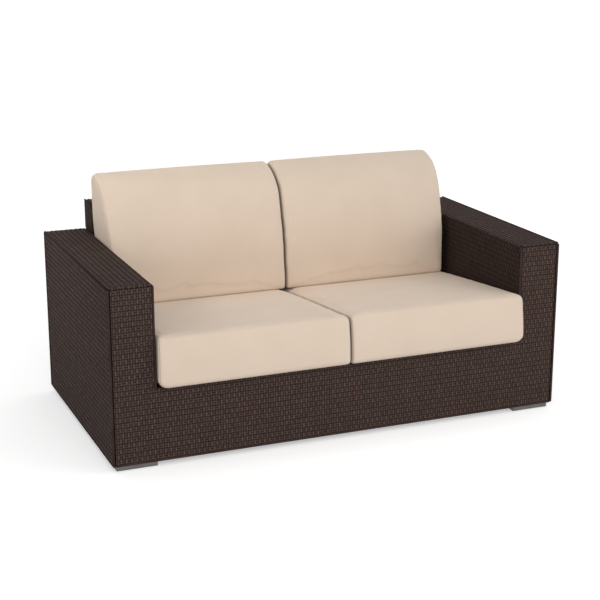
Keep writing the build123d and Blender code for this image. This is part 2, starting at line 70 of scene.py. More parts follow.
def deselectAll():
    if bpy.context.object and bpy.context.object.mode != "OBJECT":
        bpy.ops.object.mode_set(mode="OBJECT")
    bpy.ops.object.select_all(action="DESELECT")


def activate(obj):
    deselectAll()
    obj.select_set(True)
    bpy.context.view_layer.objects.active = obj


def applyModifiers(obj):
    activate(obj)
    for modifier in list(obj.modifiers):
        bpy.ops.object.modifier_apply(modifier=modifier.name)


def joinAll(objects, name):
    deselectAll()
    for obj in objects:
        obj.select_set(True)
    bpy.context.view_layer.objects.active = objects[0]
    if len(objects) > 1:
        bpy.ops.object.join()
    joined = bpy.context.object
    joined.name = name
    joined.data.name = name
    return joined


def readPoints(mesh):
    points = np.empty(len(mesh.vertices) * 3)
    mesh.vertices.foreach_get("co", points)
    return points.reshape(-1, 3)


def writePoints(mesh, points):
    mesh.vertices.foreach_set("co", points.astype(np.float32).ravel())
    mesh.update()


def finishPiece(obj, body, materials):
    obj.data.materials.clear()
    for material in materials:
        obj.data.materials.append(material)
    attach(obj, body)
    return obj


def deckHeight(y, rise=0.0):
    # Height at depth y of a plane that lies rise above the sloping deck
    return apronTop + (rise - (y - frontY) * math.sin(seatSlope)) / math.cos(seatSlope)


# Camera, lamps and stage

view = {
    "place": (-1.8519, -4.4916, 1.7553),
    "turn": 22.43,
    "tilt": 15.84,
    "lens": 85.63,
    "sensor": 36,
    "sight": 400,
    "worldLevels": (0.57, 0.80),
    "floorSize": 300,
    "floorColour": (0.86, 0.86, 0.86),
    "floorLift": 0.44,
}
lamps = {
    "keyLamp": {
        "place": (-0.9, -4.9, 2.8), "target": (0, 0, 0.4), "size": 2.8,
        "power": 68, "colour": (1.0, 0.985, 0.965), "spread": 180,
    },
    "fillLamp": {
        "place": (3.4, -3.2, 2.4), "target": (0, 0, 0.4), "size": 2.4,
        "power": 24, "colour": (1, 1, 1), "spread": 180,
    },
    "sideLamp": {
        "place": (-3.0, 0.1, 2.2), "target": (-0.66, 0.2, 0.76), "size": 0.8,
        "power": 0.55, "colour": (1.0, 0.93, 0.86), "spread": 24,
    },
}


def makeCamera():
    turn = math.radians(view["turn"])
    tilt = math.radians(view["tilt"])
    back = Vector((-math.sin(turn) * math.cos(tilt), -math.cos(turn) * math.cos(tilt), math.sin(tilt)))
    data = bpy.data.cameras.new("photoCamera")
    data.lens = view["lens"]
    data.sensor_width = view["sensor"]
    data.clip_end = view["sight"]
    camera = bpy.data.objects.new("photoCamera", data)
    bpy.context.scene.collection.objects.link(camera)
    camera.location = view["place"]
    camera.rotation_euler = back.to_track_quat("Z", "Y").to_euler()
    bpy.context.scene.camera = camera


def makeLamp(name, lamp):
    data = bpy.data.lights.new(name, "AREA")
    data.shape = "DISK"
    data.size = lamp["size"]
    data.energy = lamp["power"]
    data.color = lamp["colour"]
    data.spread = math.radians(lamp["spread"])
    obj = bpy.data.objects.new(name, data)
    bpy.context.scene.collection.objects.link(obj)
    obj.location = lamp["place"]
    aim = Vector(lamp["place"]) - Vector(lamp["target"])
    obj.rotation_euler = aim.to_track_quat("Z", "Y").to_euler()


def seenDirectly(nodes):
    # 1 for rays that show the background: camera, glossy and transmission
    path = nodes.new("ShaderNodeLightPath")
    first = nodes.new("ShaderNodeMath")
    first.operation = "MAXIMUM"
    second = nodes.new("ShaderNodeMath")
    second.operation = "MAXIMUM"
    links = nodes.id_data.links
    links.new(path.outputs["Is Camera Ray"], first.inputs[0])
    links.new(path.outputs["Is Glossy Ray"], first.inputs[1])
    links.new(first.outputs[0], second.inputs[0])
    links.new(path.outputs["Is Transmission Ray"], second.inputs[1])
    return second.outputs[0]


def makeWorld():
    world = bpy.data.worlds.new("studio")
    world.use_nodes = True
    bpy.context.scene.world = world
    nodes = world.node_tree.nodes
    links = world.node_tree.links
    nodes.clear()
    lit = nodes.new("ShaderNodeBackground")
    lit.inputs["Color"].default_value = (1, 1, 1, 1)
    # The room is brighter on the right
    place = nodes.new("ShaderNodeTexCoord")
    split = nodes.new("ShaderNodeSeparateXYZ")
    level = nodes.new("ShaderNodeMapRange")
    level.inputs["From Min"].default_value = -1
    level.inputs["To Min"].default_value, level.inputs["To Max"].default_value = view["worldLevels"]
    links.new(place.outputs["Generated"], split.inputs[0])
    links.new(split.outputs["X"], level.inputs["Value"])
    links.new(level.outputs["Result"], lit.inputs["Strength"])
    seen = nodes.new("ShaderNodeBackground")
    seen.inputs["Color"].default_value = (1, 1, 1, 1)
    seen.inputs["Strength"].default_value = 1
    mix = nodes.new("ShaderNodeMixShader")
    out = nodes.new("ShaderNodeOutputWorld")
    links.new(seenDirectly(nodes), mix.inputs[0])
    links.new(lit.outputs[0], mix.inputs[1])
    links.new(seen.outputs[0], mix.inputs[2])
    links.new(mix.outputs[0], out.inputs["Surface"])


def makeFloor():
    deselectAll()
    bpy.ops.mesh.primitive_plane_add(size=view["floorSize"], location=(0, 0, 0))
    floor = bpy.context.object
    floor.name = "studioFloor"
    material = bpy.data.materials.new("paleFloor")
    material.use_nodes = True
    nodes = material.node_tree.nodes
    links = material.node_tree.links
    nodes.clear()
    diffuse = nodes.new("ShaderNodeBsdfDiffuse")
    diffuse.inputs["Color"].default_value = (*view["floorColour"], 1)
    lift = nodes.new("ShaderNodeEmission")
    scale = nodes.new("ShaderNodeMath")
    scale.operation = "MULTIPLY"
    scale.inputs[1].default_value = view["floorLift"]
    links.new(seenDirectly(nodes), scale.inputs[0])
    links.new(scale.outputs[0], lift.inputs["Strength"])
    total = nodes.new("ShaderNodeAddShader")
    out = nodes.new("ShaderNodeOutputMaterial")
    links.new(diffuse.outputs[0], total.inputs[0])
    links.new(lift.outputs[0], total.inputs[1])
    links.new(total.outputs[0], out.inputs["Surface"])
    floor.data.materials.append(material)


bpy.context.scene.view_settings.view_transform = "Standard"
makeCamera()
makeWorld()
makeFloor()
for name, lamp in lamps.items():
    makeLamp(name, lamp)
print("stage ready")


# Materials

def newMaterial(name):
    material = bpy.data.materials.new(name)
    material.use_nodes = True
    nodes = material.node_tree.nodes
    nodes.clear()
    out = nodes.new("ShaderNodeOutputMaterial")
    shader = nodes.new("ShaderNodeBsdfPrincipled")
    material.node_tree.links.new(shader.outputs[0], out.inputs["Surface"])
    return material, nodes, material.node_tree.links, shader


def makeNoise(nodes, links, source, scale, detail=2.0, stretch=(1, 1, 1)):
    mapping = nodes.new("ShaderNodeMapping")
    mapping.inputs["Scale"].default_value = stretch
    noise = nodes.new("ShaderNodeTexNoise")
    noise.inputs["Scale"].default_value = scale
    noise.inputs["Detail"].default_value = detail
    links.new(source, mapping.inputs["Vector"])
    links.new(mapping.outputs[0], noise.inputs["Vector"])
    return noise.outputs["Fac"]


def makeRamp(nodes, links, source, stops):
    ramp = nodes.new("ShaderNodeValToRGB")
    elements = ramp.color_ramp.elements
    while len(elements) < len(stops):
        elements.new(0.5)
    for element, (place, colour) in zip(elements, stops):
        element.position = place
        element.color = (*colour, 1)
    links.new(source, ramp.inputs["Fac"])
    return ramp.outputs["Color"]


def makeRange(nodes, links, source, low, high):
    span = nodes.new("ShaderNodeMapRange")
    span.inputs["To Min"].default_value = low
    span.inputs["To Max"].default_value = high
    links.new(source, span.inputs["Value"])
    return span.outputs["Result"]


def addBump(nodes, links, shader, heights, strength, distance):
    # heights is a list of (socket, weight) added together
    total = None
    for socket, weight in heights:
        scaled = nodes.new("ShaderNodeMath")
        scaled.operation = "MULTIPLY_ADD"
        scaled.inputs[1].default_value = weight
        scaled.inputs[2].default_value = 0
        links.new(socket, scaled.inputs[0])
        if total is not None:
            links.new(total, scaled.inputs[2])
        total = scaled.outputs[0]
    bump = nodes.new("ShaderNodeBump")
    bump.inputs["Strength"].default_value = strength
    bump.inputs["Distance"].default_value = distance
    links.new(total, bump.inputs["Height"])
    links.new(bump.outputs[0], shader.inputs["Normal"])


resin = {
    "dark": (0.072, 0.046, 0.039),
    "middle": (0.110, 0.072, 0.061),
    "light": (0.156, 0.109, 0.093),
    "red": (0.128, 0.066, 0.053),
    "spread": 0.1,
    # Across strands are painted a little lighter than the uprights, to balance the painted shade of
    # their lower place in the weave
    "acrossShade": 1.1,
    "toneStops": (0.22, 0.5, 0.8),
    "redStops": (0.62, 0.72),
    "redMost": 0.55,
    # Painted shade and light: heights in the weave, and how much of its tone a strand keeps at each, so
    # that the lower it lies the darker it is painted; the crests of the sides and tops are painted
    # lighter and the inner faces darker, as light falls on them
    "depths": {"front": (-0.0016, 0.0010), "side": (-0.0004, 0.0010), "inner": (-0.0004, 0.0010)},
    "paintedShadeLevels": {"front": (0.18, 1.05), "side": (0.2, 1.75), "inner": (0.24, 0.86)},
    "roughness": (0.56, 0.7),
    "specular": 0.06,
    "patchScale": 9,
    "bump": (0.35, 0.0006),
    "plainScales": (220, 14),
    "plainTones": (0.72, 1.25),
    "plainBump": (0.3, 0.0005),
}
strandPitch = 0.00865


def resinStrands(name, floatSpan, stretch, shade, kind):
    # Each float of a strand, as long as floatSpan along the flat weave, has its own tone
    material, nodes, links, shader = newMaterial(name)
    flat = nodes.new("ShaderNodeAttribute")
    flat.attribute_name = "flatWeave"
    number = nodes.new("ShaderNodeVectorMath")
    number.operation = "DIVIDE"
    number.inputs[1].default_value = (floatSpan, strandPitch, 1)
    links.new(flat.outputs["Vector"], number.inputs[0])
    height = nodes.new("ShaderNodeSeparateXYZ")
    links.new(flat.outputs["Vector"], height.inputs[0])
    whole = nodes.new("ShaderNodeVectorMath")
    whole.operation = "FLOOR"
    links.new(number.outputs[0], whole.inputs[0])
    chance = nodes.new("ShaderNodeTexWhiteNoise")
    chance.noise_dimensions = "2D"
    links.new(whole.outputs[0], chance.inputs["Vector"])
    streak = makeNoise(nodes, links, flat.outputs["Vector"], 1.0, 3, stretch)
    patch = makeNoise(nodes, links, flat.outputs["Vector"], resin["patchScale"], 2)
    tone = nodes.new("ShaderNodeMath")
    tone.operation = "ADD"
    spread = makeRange(nodes, links, chance.outputs["Value"], -resin["spread"], resin["spread"])
    links.new(spread, tone.inputs[0])
    links.new(streak, tone.inputs[1])
    stops = [
        (place, tuple(shade * value for value in resin[key]))
        for place, key in zip(resin["toneStops"], ("dark", "middle", "light"))
    ]
    colour = makeRamp(nodes, links, tone.outputs[0], stops)
    redStart, redEnd = resin["redStops"]
    redness = makeRamp(nodes, links, patch, ((redStart, (0, 0, 0)), (redEnd, 3 * (resin["redMost"],))))
    tint = nodes.new("ShaderNodeMix")
    tint.data_type = "RGBA"
    tint.inputs["B"].default_value = (*(shade * value for value in resin["red"]), 1)
    links.new(redness, tint.inputs["Factor"])
    links.new(colour, tint.inputs["A"])
    # Painted shade: the lower a strand lies in the weave, the darker it is painted, standing in for the
    # shade in the hollows
    paintedDepthShade = nodes.new("ShaderNodeMapRange")
    for ends, key in (("From", "depths"), ("To", "paintedShadeLevels")):
        lowEnd, highEnd = resin[key][kind]
        paintedDepthShade.inputs[ends + " Min"].default_value = lowEnd
        paintedDepthShade.inputs[ends + " Max"].default_value = highEnd
    links.new(height.outputs["Z"], paintedDepthShade.inputs["Value"])
    shaded = nodes.new("ShaderNodeVectorMath")
    shaded.operation = "SCALE"
    links.new(tint.outputs["Result"], shaded.inputs[0])
    links.new(paintedDepthShade.outputs["Result"], shaded.inputs["Scale"])
    links.new(shaded.outputs[0], shader.inputs["Base Color"])
    links.new(makeRange(nodes, links, streak, *resin["roughness"]), shader.inputs["Roughness"])
    shader.inputs["Specular IOR Level"].default_value = resin["specular"]
    addBump(nodes, links, shader, [(streak, 1.0)], *resin["bump"])
    return material


def twoTones(nodes, links, source, base, tones):
    # The base colour, from a darker to a lighter tone of it
    low, high = (tuple(tone * value for value in base) for tone in tones)
    return makeRamp(nodes, links, source, ((0.3, low), (0.7, high)))


def resinPlain(name, base, roughness):
    # Solid resin: the near-black skins behind the strands, which are painted shade for the gaps between
    # them, and the strands along the edges and rims
    material, nodes, links, shader = newMaterial(name)
    place = nodes.new("ShaderNodeTexCoord").outputs["Object"]
    grainScale, broadScale = resin["plainScales"]
    grain = makeNoise(nodes, links, place, grainScale, 4)
    broad = makeNoise(nodes, links, place, broadScale, 2)
    links.new(twoTones(nodes, links, broad, base, resin["plainTones"]), shader.inputs["Base Color"])
    links.new(makeRange(nodes, links, grain, *roughness), shader.inputs["Roughness"])
    shader.inputs["Specular IOR Level"].default_value = resin["specular"]
    addBump(nodes, links, shader, [(grain, 1.0)], *resin["plainBump"])
    return material


metal = {"cloudScale": 30, "tones": (0.85, 1.12), "bump": (0.12, 0.0004)}


def brushedMetal(name, base, roughness, stretch):
    # Aluminium or steel with fine lines along the direction that stretch leaves short
    material, nodes, links, shader = newMaterial(name)
    place = nodes.new("ShaderNodeTexCoord").outputs["Object"]
    lines = makeNoise(nodes, links, place, 1.0, 3, stretch)
    cloud = makeNoise(nodes, links, place, metal["cloudScale"], 3)
    links.new(twoTones(nodes, links, cloud, base, metal["tones"]), shader.inputs["Base Color"])
    links.new(makeRange(nodes, links, lines, *roughness), shader.inputs["Roughness"])
    shader.inputs["Metallic"].default_value = 1
    addBump(nodes, links, shader, [(lines, 1.0)], *metal["bump"])
    return material


coat = {"scales": (900, 12), "tones": (0.85, 1.15), "roughness": (0.42, 0.58), "bump": (0.25, 0.0003)}


def powderCoat(name, base):
    # An even coat or moulding with a fine grain
    material, nodes, links, shader = newMaterial(name)
    place = nodes.new("ShaderNodeTexCoord").outputs["Object"]
    fineScale, broadScale = coat["scales"]
    fine = makeNoise(nodes, links, place, fineScale, 2)
    broad = makeNoise(nodes, links, place, broadScale, 2)
    links.new(twoTones(nodes, links, broad, base, coat["tones"]), shader.inputs["Base Color"])
    links.new(makeRange(nodes, links, fine, *coat["roughness"]), shader.inputs["Roughness"])
    addBump(nodes, links, shader, [(fine, 1.0)], *coat["bump"])
    return material


fabric = {
    "light": (0.745, 0.615, 0.50),
    "dark": (0.705, 0.575, 0.46),
    "thread": 0.0009,
    "roughness": (0.78, 0.92),
    "specular": 0.25,
    "sheen": 0.2,
    "sheenRoughness": 0.5,
    "fuzzScale": 900,
    "toneScale": 7,
    "bump": (0.2, 0.0004),
    # Place beside the seam, width and shade of its dark line and of the stitched line: the dark line is
    # painted shade in the seam's groove, and the stitched line is darker for its stitches and their
    # painted shade
    "lines": ((0, 0.0014, 0.62), (0.0064, 0.0012, 0.88)),
}


def makeLine(nodes, links, span, place, width, shade):
    # A factor that falls to shade where span is near place, and is 1 elsewhere
    offset = nodes.new("ShaderNodeMath")
    offset.operation = "SUBTRACT"
    offset.inputs[1].default_value = place
    links.new(span, offset.inputs[0])
    away = nodes.new("ShaderNodeMath")
    away.operation = "ABSOLUTE"
    links.new(offset.outputs[0], away.inputs[0])
    line = nodes.new("ShaderNodeMapRange")
    line.inputs["From Max"].default_value = width
    line.inputs["To Min"].default_value = shade
    line.inputs["To Max"].default_value = 1
    links.new(away.outputs[0], line.inputs["Value"])
    return line.outputs["Result"]


def cushionCloth(name, light, dark, stitched=False):
    # Plain outdoor cloth: fine crossed threads and a faint uneven tone
    material, nodes, links, shader = newMaterial(name)
    place = nodes.new("ShaderNodeTexCoord").outputs["Object"]
    threads = []
    for direction in ("X", "Z"):
        wave = nodes.new("ShaderNodeTexWave")
        wave.bands_direction = direction
        wave.inputs["Scale"].default_value = 0.31 / fabric["thread"]  # a band each 0.31 / scale
        wave.inputs["Distortion"].default_value = 0.8
        wave.inputs["Detail"].default_value = 1
        links.new(place, wave.inputs["Vector"])
        threads.append(wave.outputs["Fac"])
    fuzz = makeNoise(nodes, links, place, fabric["fuzzScale"], 2)
    tone = makeNoise(nodes, links, place, fabric["toneScale"], 3)
    blend = nodes.new("ShaderNodeMath")
    blend.operation = "MULTIPLY_ADD"
    blend.inputs[1].default_value = 0.35
    links.new(fuzz, blend.inputs[0])
    links.new(tone, blend.inputs[2])
    cloth = makeRamp(nodes, links, blend.outputs[0], ((0.35, dark), (1.0, light)))
    if stitched:
        # The seam is a dark line of painted shade in its groove, and a fainter stitched line, darkened
        # for its stitches and their shade, runs beside it
        span = nodes.new("ShaderNodeAttribute")
        span.attribute_name = "seamSpan"
        seamShade = nodes.new("ShaderNodeMath")
        seamShade.operation = "MULTIPLY"
        for index, line in enumerate(fabric["lines"]):
            links.new(makeLine(nodes, links, span.outputs["Fac"], *line), seamShade.inputs[index])
        gap = nodes.new("ShaderNodeAttribute")
        gap.attribute_name = "gapShade"
        for factor in (seamShade.outputs[0], gap.outputs["Fac"]):
            shade = nodes.new("ShaderNodeVectorMath")
            shade.operation = "SCALE"
            links.new(cloth, shade.inputs[0])
            links.new(factor, shade.inputs["Scale"])
            cloth = shade.outputs[0]
    links.new(cloth, shader.inputs["Base Color"])
    links.new(makeRange(nodes, links, fuzz, *fabric["roughness"]), shader.inputs["Roughness"])
    shader.inputs["Specular IOR Level"].default_value = fabric["specular"]
    shader.inputs["Sheen Weight"].default_value = fabric["sheen"]
    shader.inputs["Sheen Roughness"].default_value = fabric["sheenRoughness"]
    heights = [(threads[0], 0.5), (threads[1], 0.5), (fuzz, 0.4)]
    addBump(nodes, links, shader, heights, *fabric["bump"])
    return material


strandResins = {}
for kind in ("front", "side", "inner"):
    # The faces that turn to the side show more of the dark between their strands, so each kind of face
    # gets its own copies of the strand resins, with their own painted light and shade
    strandResins[kind] = (
        resinStrands(kind + "UprightResin", 2 * strandPitch, (60, 900, 1), 1, kind),
        resinStrands(kind + "AcrossResin", strandPitch, (900, 60, 1), resin["acrossShade"], kind),
    )
finish = {
    "backing": (0.0065, 0.0045, 0.004),
    "edge": (0.050, 0.031, 0.025),
    "rimShade": (0.011, 0.008, 0.007),
    "foot": (0.16, 0.153, 0.149),
    "bolt": (0.5, 0.5, 0.51),
    "tube": (0.085, 0.062, 0.05),
    "glide": (0.03, 0.03, 0.03),
    "tapeLight": (0.62, 0.50, 0.40),
    "tapeDark": (0.50, 0.40, 0.31),
    "slider": (0.50, 0.40, 0.31),
    "foam": (0.72, 0.66, 0.48),
}
# Near black: painted shade for the gaps between the strands
gapShadeResin = resinPlain("gapShadeResin", finish["backing"], (0.6, 0.8))
edgeResin = resinPlain("edgeResin", finish["edge"], (0.46, 0.62))
# Near black: painted shade along the outer top and bottom edges
rimShadeResin = resinPlain("rimShadeResin", finish["rimShade"], (0.6, 0.8))
footMetal = brushedMetal("footAluminium", finish["foot"], (0.4, 0.55), (40, 900, 900))
boltSteel = brushedMetal("boltSteel", finish["bolt"], (0.25, 0.42), (500, 500, 500))
tubeCoat = powderCoat("tubeCoat", finish["tube"])
glideBlack = powderCoat("glideBlack", finish["glide"])
zipTape = cushionCloth("zipTape", finish["tapeLight"], finish["tapeDark"])
zipMetal = powderCoat("zipMetal", finish["slider"])
cushionFabric = cushionCloth("cushionFabric", fabric["light"], fabric["dark"], stitched=True)
foamCore = powderCoat("foamCore", finish["foam"])

slotMaterials = {
    "frame_aluminium": tubeCoat,
    "woven_resin": gapShadeResin,
    "foot_aluminium": footMetal,
    "glide_plastic": glideBlack,
    "fastener_steel": boltSteel,
    "zip_plastic": zipTape,
    "zip_metal": zipMetal,
}
for part in frame["record"]["subparts"]:
    material = slotMaterials.get(part["material_slot"])
    if material is not None:
        nodeMesh = frame["nodes"][part["node"]].data
        if not nodeMesh.materials:
            nodeMesh.materials.append(material)
        for index in range(len(nodeMesh.materials)):
            nodeMesh.materials[index] = material
print("materials ready")


# Woven strands: one repeat is modelled flat, arrayed, cut to the panel and bent along a path.
# Flat frame: X along the upright strands, Y across them, Z out of the panel.

weave = {
    "uprightWidth": 0.0066,
    "uprightDrop": 0.0015,
    "acrossWidth": 0.0074,
    "acrossDrop": 0.0007,
    "backingDepth": 0.0024,
    "sway": 0.0003,
    "lift": 0.0003,
    "skinThickness": 0.004,
    "arcSteps": 8,
    "underside": 0.004,
    # Share of the repeat and height in the weave, for one strand of each kind
    "uprightSteps": (
        (0, -0.0009), (0.07, 0.00045), (0.16, 0.0010), (0.31, 0.0010), (0.42, 0.00045),
        (0.5, -0.0009), (0.75, -0.0021), (1, -0.0009),
    ),
    "acrossSteps": ((0, -0.0009), (0.13, -0.0002), (0.37, -0.0002), (0.5, -0.0009), (1, -0.0009)),
}
cellAlong = 4 * strandPitch
cellAcross = 2 * strandPitch


def selectVertices(obj, test):
    activate(obj)
    bpy.ops.object.mode_set(mode="EDIT")
    bpy.ops.mesh.select_mode(type="VERT")
    bpy.ops.mesh.select_all(action="DESELECT")
    bpy.ops.object.mode_set(mode="OBJECT")
    for vertex in obj.data.vertices:
        vertex.select = test(vertex.co)
    bpy.ops.object.mode_set(mode="EDIT")


def makeRibbon(width, drop, steps):
    # A strand along X: two faces side by side, drawn out step by step, with its middle raised
    deselectAll()
    bpy.ops.mesh.primitive_grid_add(x_subdivisions=1, y_subdivisions=2, size=1)
    ribbon = bpy.context.object
    (start, startLift), (first, firstLift) = steps[:2]
    ribbon.scale = (first - start, width, 1)
    ribbon.location = ((start + first) / 2, 0, startLift - drop)
    bpy.ops.object.transform_apply(location=True, rotation=True, scale=True)
    middle = (start + first) / 2
    selectVertices(ribbon, lambda place: place.x > middle)
    bpy.ops.transform.translate(value=(0, 0, firstLift - startLift))
    for (along, lift), (nextAlong, nextLift) in zip(steps[1:], steps[2:]):
        move = (nextAlong - along, 0, nextLift - lift)
        bpy.ops.mesh.extrude_region_move(TRANSFORM_OT_translate={"value": move})
    selectVertices(ribbon, lambda place: abs(place.y) < width / 8)
    bpy.ops.transform.translate(value=(0, 0, drop))
    bpy.ops.object.mode_set(mode="OBJECT")
    return ribbon


def makeRepeat():
    # Two upright strands and four across: each floats over two and dives under two
    strands = []
    for column in range(2):
        steps = [((share + column / 2) * cellAlong, lift) for share, lift in weave["uprightSteps"]]
        upright = makeRibbon(weave["uprightWidth"], weave["uprightDrop"], steps)
        upright.location = (0, (column + 0.5) * strandPitch, 0)
        strands.append(upright)
    for row in range(4):
        # Rows 0 and 1 pass over the second column, rows 2 and 3 over the first
        shift = 0.5 if row < 2 else 0
        steps = [((share + shift) * cellAcross, lift) for share, lift in weave["acrossSteps"]]
        across = makeRibbon(weave["acrossWidth"], weave["acrossDrop"], steps)
        across.rotation_euler = (0, 0, math.pi / 2)
        across.location = ((row + 0.5) * strandPitch, 0, 0)
        strands.append(across)
    for index, obj in enumerate(strands):
        activate(obj)
        bpy.ops.object.transform_apply(location=True, rotation=True, scale=True)
        for material in strandResins["front"]:
            obj.data.materials.append(material)
        for face in obj.data.polygons:
            face.material_index = 0 if index < 2 else 1
    return joinAll(strands, "weaveRepeat")


weaveRepeat = makeRepeat()


def cutFlat(obj, place, direction):
    # Cuts a flat weave along a line and drops what lies on the side that direction points to
    activate(obj)
    bpy.ops.object.mode_set(mode="EDIT")
    bpy.ops.mesh.select_all(action="SELECT")
    bpy.ops.mesh.bisect(plane_co=place, plane_no=direction, clear_outer=True)
    bpy.ops.object.mode_set(mode="OBJECT")


def makePath(corners):
    # A curve of straight runs joined by arcs as wide as the skin's rounded edges
    points = [Vector(corners[0])]
    for before, corner, after in zip(corners, corners[1:], corners[2:]):
        before, corner, after = Vector(before), Vector(corner), Vector(after)
        arriving = (corner - before).normalized()
        leaving = (after - corner).normalized()
        turn = arriving.angle(leaving)
        reach = skinCorner * math.tan(turn / 2)
        inward = (leaving - arriving).normalized()
        centre = corner + inward * (skinCorner / math.cos(turn / 2))
        first = corner - arriving * reach - centre
        last = corner + leaving * reach - centre
        for step in range(weave["arcSteps"] + 1):
            share = step / weave["arcSteps"]
            points.append(centre + first.slerp(last, share) * skinCorner)
    points.append(Vector(corners[-1]))
    data = bpy.data.curves.new("weavePath", "CURVE")
    data.dimensions = "3D"
    spline = data.splines.new("POLY")
    spline.points.add(len(points) - 1)
    for knot, point in zip(spline.points, points):
        knot.co = (*point, 1)
        knot.tilt = math.pi
    path = bpy.data.objects.new("weavePath", data)
    bpy.context.scene.collection.objects.link(path)
    return path


def pathLength(corners, count):
    # Length of the path up to the end of its arc at the given corner
    total = 0
    for index in range(1, count + 1):
        before, corner, after = (Vector(corners[k]) for k in (index - 1, index, index + 1))
        turn = (corner - before).angle(after - corner)
        reach = skinCorner * math.tan(turn / 2)
        total += (corner - before).length - 2 * reach + skinCorner * turn
        if index == 1:
            total += reach
    return total


def strandChance(number, seed):
    # A chance value from -1 to 1, the same in each run for the same number
    value = np.sin(number * 12.9898 + seed) * 43758.5453
    return 2 * (value - np.floor(value)) - 1


def unevenStrands(flat):
    # Strands lie a little aside, and floats a little high or low, as weaving by hand leaves them
    column = np.floor(flat[:, 1] / strandPitch)
    row = np.floor(flat[:, 0] / strandPitch)
    moved = flat.copy()
    moved[:, 0] += weave["sway"] * strandChance(row, 2.7)
    moved[:, 1] += weave["sway"] * strandChance(column, 1.3)
    moved[:, 2] += weave["lift"] * strandChance(np.floor(row / 2) * 131 + column, 0.4)
    return moved


def makeWeave(name, corners, along, across, kind="front", cuts=()):
    # A woven panel from along[0] to along[1] on the path, and from across[0] to across[1] beside it
    panel = weaveRepeat.copy()
    panel.data = weaveRepeat.data.copy()
    bpy.context.scene.collection.objects.link(panel)
    panel.name = name
    firstAlong = math.floor(along[0] / cellAlong) - 1
    firstAcross = math.floor(across[0] / cellAcross) - 1
    panel.data.transform(Matrix.Translation((firstAlong * cellAlong, firstAcross * cellAcross, 0)))
    for axis, (first, cell, limit) in enumerate(
        ((firstAlong, cellAlong, along[1]), (firstAcross, cellAcross, across[1]))
    ):
        array = panel.modifiers.new("rows", "ARRAY")
        array.use_relative_offset = False
        array.use_constant_offset = True
        array.constant_offset_displace = (cell, 0, 0) if axis == 0 else (0, cell, 0)
        array.count = math.ceil(limit / cell) - first + 1
    applyModifiers(panel)
    bpy.ops.object.mode_set(mode="EDIT")
    bpy.ops.mesh.select_all(action="SELECT")
    bpy.ops.mesh.remove_doubles(threshold=0.00002)
    bpy.ops.object.mode_set(mode="OBJECT")
    cutFlat(panel, (along[0], 0, 0), (-1, 0, 0))
    cutFlat(panel, (along[1], 0, 0), (1, 0, 0))
    cutFlat(panel, (0, across[0], 0), (0, -1, 0))
    cutFlat(panel, (0, across[1], 0), (0, 1, 0))
    for place, direction in cuts:
        cutFlat(panel, place, direction)
    flat = readPoints(panel.data)
    attribute = panel.data.attributes.new("flatWeave", "FLOAT_VECTOR", "POINT")
    attribute.data.foreach_set("vector", flat.astype(np.float32).ravel())
    writePoints(panel.data, unevenStrands(flat))
    path = makePath(corners)
    bend = panel.modifiers.new("bend", "CURVE")
    bend.object = path
    bend.deform_axis = "POS_X"
    applyModifiers(panel)
    bpy.data.objects.remove(path)
    for face in panel.data.polygons:
        face.use_smooth = True
    for index, material in enumerate(strandResins[kind]):
        panel.data.materials[index] = material
    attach(panel, "root")
    print(name, len(panel.data.polygons), "faces")
    return panel


def copyShell(node, name):
    # The outer skin of a node, as one closed mesh
    shell = bpy.data.objects.new(name, frame["nodes"][node].data.copy())
    bpy.context.scene.collection.objects.link(shell)
    shell.data.materials.clear()
    activate(shell)
    bpy.ops.object.mode_set(mode="EDIT")
    bpy.ops.mesh.select_all(action="SELECT")
    bpy.ops.mesh.remove_doubles(threshold=0.00001)
    bpy.ops.mesh.separate(type="LOOSE")
    bpy.ops.object.mode_set(mode="OBJECT")
    pieces = sorted(bpy.context.selected_objects, key=lambda piece: piece.dimensions.x)
    for piece in pieces[:-1]:
        bpy.data.objects.remove(piece)
    pieces[-1].name = name
    return pieces[-1]


def vertexNormals(mesh):
    normals = np.empty(len(mesh.vertices) * 3)
    mesh.vertex_normals.foreach_get("vector", normals)
    return normals.reshape(-1, 3)


def makeShadeBacking(node):
    # The layer under the strands: the node's skin, drawn in and coloured near black, painted shade for
    # the gaps between the strands
    obj = copyShell(node, node.replace("_weave", "_weave_backing"))
    points = readPoints(obj.data)
    normals = vertexNormals(obj.data)
    if node in ("apron_weave", "seat_deck_weave"):
        # A bent sheet: only its outer side moves, straight in
        skin = weave["skinThickness"] * 0.97
        outer = points[:, 1] < frontY + skin
        outer |= points[:, 2] < weaveFloor + skin
        outer |= points[:, 2] > deckHeight(points[:, 1], -skin)
        normals[:, 0] = 0
        normals /= np.maximum(np.linalg.norm(normals, axis=1), 0.001)[:, None]
        normals[~outer] = 0
    writePoints(obj.data, points - weave["backingDepth"] * normals)
    finishPiece(obj, "root", [gapShadeResin])
    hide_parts(node)


for node in ("left_arm_weave", "right_arm_weave", "back_weave", "apron_weave", "seat_deck_weave"):
    makeShadeBacking(node)

under = weave["underside"] + skinCorner
sideSpan = (frontY + skinCorner, rearY - skinCorner)
frontRun = (
    (0, frontY + under, weaveFloor), (0, frontY, weaveFloor), (0, frontY, armTop),
    (0, frontY + 2 * skinCorner, armTop),
)
apronRun = (
    (0, frontY + under, weaveFloor), (0, frontY, weaveFloor), (0, frontY, apronTop),
    (0, backFrontY, deckHeight(backFrontY)),
)
rearRun = (
    (0, rearY - under, weaveFloor), (0, rearY, weaveFloor), (0, rearY, armTop),
    (0, rearY - 2 * skinCorner, armTop),
)
backRun = (
    (0, rearY - under, weaveFloor), (0, rearY, weaveFloor), (0, rearY, backTop),
    (0, backFrontY, backTop), (0, backFrontY, deckHeight(backFrontY)),
)


